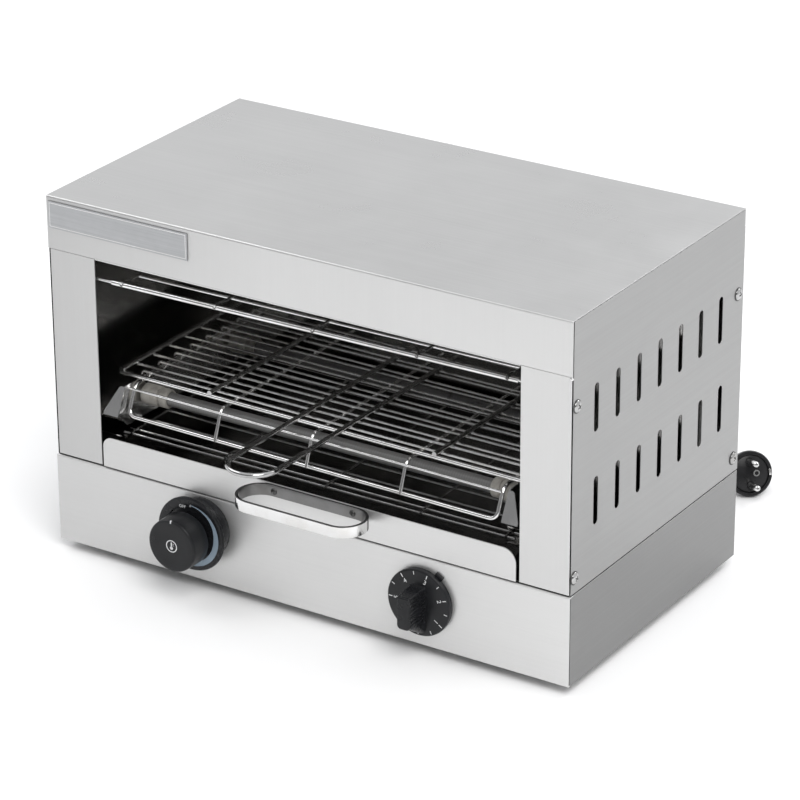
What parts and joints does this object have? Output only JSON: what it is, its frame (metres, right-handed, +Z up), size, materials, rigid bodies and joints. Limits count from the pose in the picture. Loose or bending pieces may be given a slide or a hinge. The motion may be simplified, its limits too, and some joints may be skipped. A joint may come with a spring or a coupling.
{
  "type": "electric countertop quartz toaster oven",
  "caption": "Open-front electric quartz toaster: stainless box with sliding wire rack and crumb tray, wire guards, thermostat and timer knobs, mains lead with plug.",
  "frame": {"origin": "centre of the bounding box's bottom face without the mains lead, on the surface that the feet stand on", "axes": "+X to the right seen from the front, +Y towards the back, +Z up"},
  "size_m": [0.4544, 0.491, 0.29],
  "materials": {
    "satin_stainless": "satin brushed stainless sheet",
    "polished_stainless": "bright polished sheet, dull from heat",
    "chrome_wire": "bright chromed steel",
    "ceramic": null,
    "quartz_glass": "milky quartz glass tube with a coiled wire inside",
    "rubber": "matt black rubber",
    "black_plastic": "fine-grained black thermoset",
    "badge_plate": "brushed blank label plate",
    "zinc_steel": "dull zinc-plated steel"
  },
  "bodies": {
    "oven": {"back_panel": "satin_stainless", "badge_plate": "badge_plate", "base_back_panel": "satin_stainless", "base_bottom_plate": "zinc_steel", "base_housing": "satin_stainless", "cable_gland": "rubber", "ceramic_lower_front_left": "ceramic", "ceramic_lower_front_right": "ceramic", "ceramic_lower_rear_left": "ceramic", "ceramic_lower_rear_right": "ceramic", "ceramic_upper_front_left": "ceramic", "ceramic_upper_front_right": "ceramic", "ceramic_upper_rear_left": "ceramic", "ceramic_upper_rear_right": "ceramic", "chamber_floor": "polished_stainless", "foot_front_left": "rubber", "foot_front_right": "rubber", "foot_rear_left": "rubber", "foot_rear_right": "rubber", "front_stile_left": "satin_stainless", "front_stile_right": "satin_stainless", "lead_coil": "rubber", "liner_back": "polished_stainless", "liner_left": "polished_stainless", "liner_right": "polished_stainless", "low_grid": "chrome_wire", "lower_guard": "chrome_wire", "mains_lead": "rubber", "plug": "black_plastic", "plug_lead": "rubber", "quartz_tube_lower_front": "quartz_glass", "quartz_tube_lower_rear": "quartz_glass", "quartz_tube_upper_front": "quartz_glass", "quartz_tube_upper_rear": "quartz_glass", "screw_left_front_high": "zinc_steel", "screw_left_front_low": "zinc_steel", "screw_left_rear_high": "zinc_steel", "screw_left_rear_low": "zinc_steel", "screw_right_front_high": "zinc_steel", "screw_right_front_low": "zinc_steel", "screw_right_rear_high": "zinc_steel", "screw_right_rear_low": "zinc_steel", "side_panel_left": "satin_stainless", "side_panel_right": "satin_stainless", "thermostat_bezel": "black_plastic", "thermostat_body": "zinc_steel", "timer_body": "zinc_steel", "timer_ring": "black_plastic", "top_cover": "satin_stainless", "top_reflector": "polished_stainless", "tube_holder_left": "polished_stainless", "tube_holder_right": "polished_stainless", "upper_guard": "chrome_wire"},
    "rack": {"wire_rack": "chrome_wire"},
    "tray": {"crumb_tray": "satin_stainless", "tray_handle": "chrome_wire", "handle_screw_1": "chrome_wire", "handle_screw_2": "chrome_wire"},
    "thermostat_control": {"thermostat_knob": "black_plastic"},
    "timer_control": {"timer_knob": "black_plastic"}
  },
  "joints": [
    {"name": "rack_slide", "type": "slide", "parent": "oven", "child": "rack", "axis": [0, -1, 0], "range_m": [0, 0.2]},
    {"name": "crumb_tray_slide", "type": "slide", "parent": "oven", "child": "tray", "axis": [0, -1, 0], "range_m": [0, 0.2]},
    {"name": "thermostat_turn", "type": "hinge", "parent": "oven", "child": "thermostat_control", "pos_m": [-0.0933, -0.09685, 0.05085], "axis": [0, 1, 0], "range_deg": [0, 300]},
    {"name": "timer_turn", "type": "hinge", "parent": "oven", "child": "timer_control", "pos_m": [0.1034, -0.08645, 0.0448], "axis": [0, 1, 0], "range_deg": [0, 270]}
  ]
}
